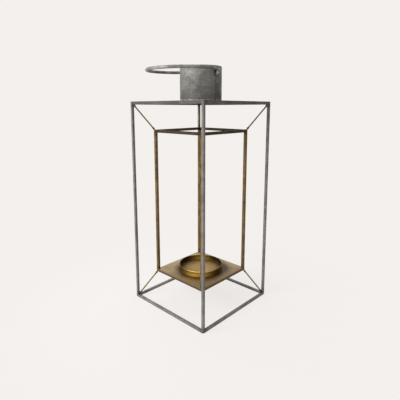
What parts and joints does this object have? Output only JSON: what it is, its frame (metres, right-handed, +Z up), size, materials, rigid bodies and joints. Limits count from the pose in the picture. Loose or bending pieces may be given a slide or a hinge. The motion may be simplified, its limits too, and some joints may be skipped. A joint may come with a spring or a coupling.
{
  "type": "candle lantern",
  "caption": "Tall square candle lantern: an open rod frame holds a brass inner frame on diagonal wires, with a candle cup on a plate, and a collar with a swinging round handle.",
  "frame": {"origin": "middle of the square that the lantern stands on, at floor level", "axes": "+Z up; the collar and cup are centred on Z; the handle's pivots lie along X and the handle rests towards -Y"},
  "size_m": [0.16, 0.1766, 0.3912],
  "materials": {
    "zinc_coated": "dull grey zinc patina",
    "collar_zinc": "mottled grey zinc patina, lighter on top",
    "handle_zinc": "dull dark grey zinc patina",
    "antique_brass": "dark antique brass",
    "brass_wire": "olive antique brass",
    "plate_brass": "satin khaki antique brass",
    "cup_brass": "satin golden brass"
  },
  "bodies": {
    "frame": {"post_front_left": "zinc_coated", "post_front_right": "zinc_coated", "post_back_left": "zinc_coated", "post_back_right": "zinc_coated", "foot_rail_front": "zinc_coated", "foot_rail_back": "zinc_coated", "foot_rail_left": "zinc_coated", "foot_rail_right": "zinc_coated", "top_rail_front": "zinc_coated", "top_rail_back": "zinc_coated", "top_rail_left": "zinc_coated", "top_rail_right": "zinc_coated", "top_sheet": "zinc_coated", "collar": "collar_zinc", "inner_post_front_left": "antique_brass", "inner_post_front_right": "antique_brass", "inner_post_back_left": "antique_brass", "inner_post_back_right": "antique_brass", "ring_bar_front": "antique_brass", "ring_bar_back": "antique_brass", "ring_bar_left": "antique_brass", "ring_bar_right": "antique_brass", "upper_wire_front_left": "brass_wire", "upper_wire_front_right": "brass_wire", "upper_wire_back_left": "brass_wire", "upper_wire_back_right": "brass_wire", "lower_wire_front_left": "brass_wire", "lower_wire_front_right": "brass_wire", "lower_wire_back_left": "brass_wire", "lower_wire_back_right": "brass_wire", "plate": "plate_brass", "cup": "cup_brass"},
    "bail": {"bail": "handle_zinc"}
  },
  "joints": [
    {"name": "bail_swing", "type": "hinge", "parent": "frame", "child": "bail", "pos_m": [0, 0, 0.3784], "axis": [-1, 0, 0], "range_deg": [-28, 202.5]}
  ]
}
